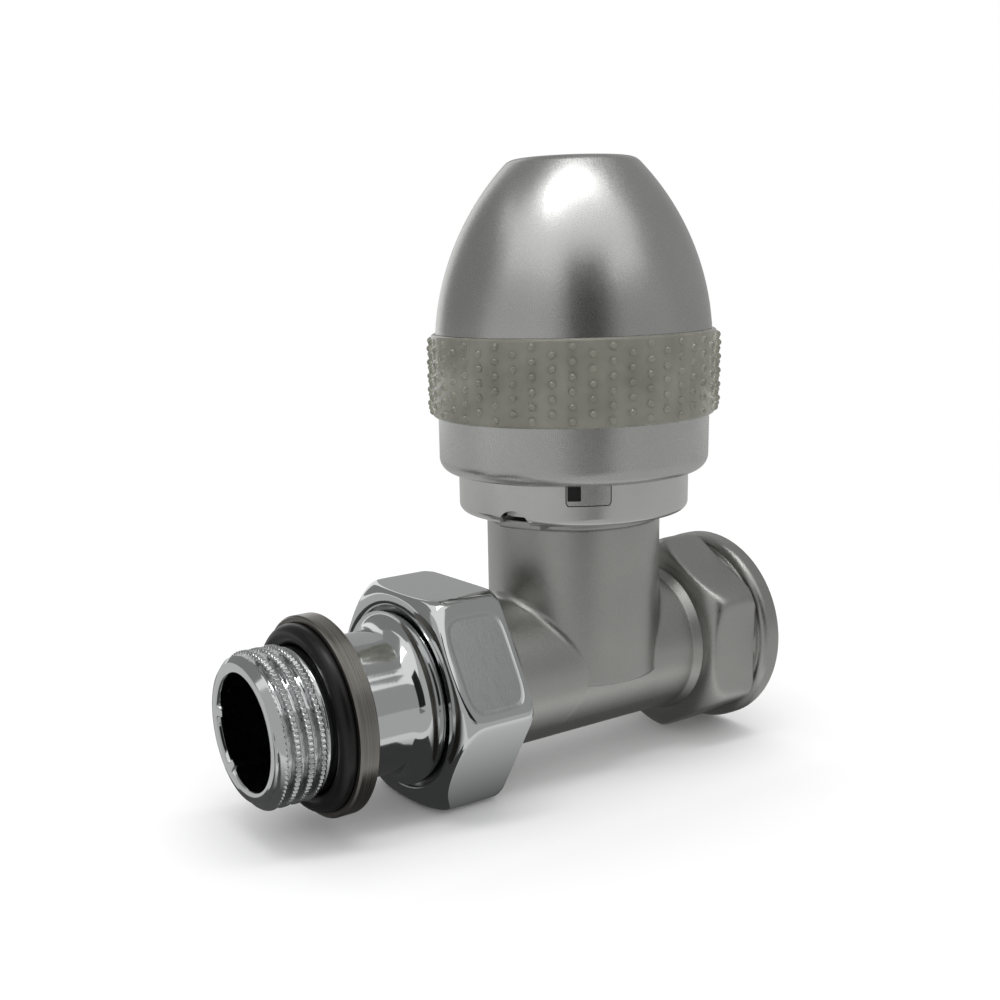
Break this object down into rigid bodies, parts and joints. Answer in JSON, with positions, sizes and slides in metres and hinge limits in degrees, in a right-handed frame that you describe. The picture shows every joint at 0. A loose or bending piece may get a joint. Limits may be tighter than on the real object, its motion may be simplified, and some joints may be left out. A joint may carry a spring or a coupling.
{
  "type": "straight radiator valve",
  "caption": "Straight heating valve with a ribbed-grip handwheel, a threaded pipe port and a union tailpiece with a captive hexagon nut.",
  "frame": {"origin": "centre of the pipe port's mouth, on the pipe axis", "axes": "+X along the pipe axis, out of the port; +Z along the stem, towards the handwheel"},
  "size_m": [0.083, 0.0412, 0.0861],
  "materials": {
    "satin_chrome": "satin, fine blasted grain",
    "polished_chrome": "polished",
    "satin_silver": "satin silver plating",
    "brushed_nickel": "turned and brushed nickel",
    "black_rubber": "smooth",
    "clear_rubber": "cloudy grey soft rubber",
    "white_packing": "matt",
    "brass": "turned",
    "spring_steel": "bright"
  },
  "bodies": {
    "body": {"valve_body": "satin_chrome", "bonnet": "polished_chrome", "bonnet_o_ring": "black_rubber", "cover_collar": "satin_silver", "gland_packing": "white_packing", "gland_nut": "brass", "handwheel_clip": "spring_steel"},
    "handwheel": {"handwheel_core": "satin_silver", "drive_hub": "brass", "dome_cap": "satin_silver", "grip_band": "clear_rubber"},
    "spindle": {"spindle": "brass", "spindle_o_ring_lower": "black_rubber", "spindle_o_ring_upper": "black_rubber", "plug_washer": "black_rubber", "plug_screw": "brass"},
    "tail": {"tailpiece": "polished_chrome", "tail_seat_ring": "black_rubber", "nut_snap_ring": "spring_steel", "backing_ring": "brushed_nickel", "tail_seal": "black_rubber"},
    "nut": {"union_nut": "polished_chrome"}
  },
  "joints": [
    {"name": "handwheel_turn", "type": "hinge", "parent": "body", "child": "handwheel", "pos_m": [-0.0285, 0, 0.04], "axis": [0, 0, 1], "range_deg": [0, 900]},
    {"name": "spindle_lift", "type": "slide", "parent": "handwheel", "child": "spindle", "axis": [0, 0, 1], "range_m": [0, 0.00375]},
    {"name": "tail_draw", "type": "slide", "parent": "body", "child": "tail", "axis": [-1, 0, 0], "range_m": [0, 0.00726]},
    {"name": "union_nut_turn", "type": "hinge", "parent": "tail", "child": "nut", "pos_m": [-0.0543, 0, 0], "axis": [-1, 0, 0], "range_deg": [0, 1440]}
  ],
  "couplings": [
    {"joint": "spindle_lift", "follows": "handwheel_turn", "m_per_rad": 0.00023873},
    {"joint": "tail_draw", "follows": "union_nut_turn", "m_per_rad": 0.00028871}
  ]
}
